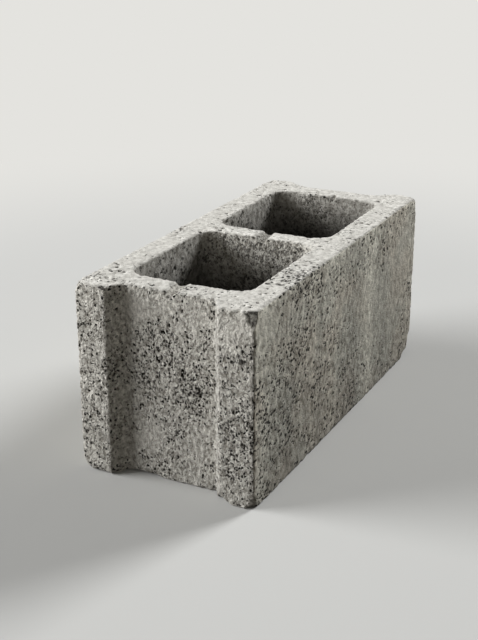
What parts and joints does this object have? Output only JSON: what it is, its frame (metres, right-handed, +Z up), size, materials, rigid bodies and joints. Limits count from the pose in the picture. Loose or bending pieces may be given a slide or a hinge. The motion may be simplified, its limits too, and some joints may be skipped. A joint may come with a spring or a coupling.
{
  "type": "concrete block",
  "caption": "Hollow concrete masonry block with tapered cores, a thick web at each end and ears that leave a shallow recess between them.",
  "frame": {"origin": "centre of the block's bounding box, on the bottom bed", "axes": "+Z up, from bed to bed; +Y along the wall, the long way of the block; +X across the wall"},
  "size_m": [0.194, 0.448, 0.203],
  "materials": {
    "concrete": "as cast, dry and open-grained"
  },
  "bodies": {
    "root": {"concrete_block": "concrete"}
  },
  "joints": []
}
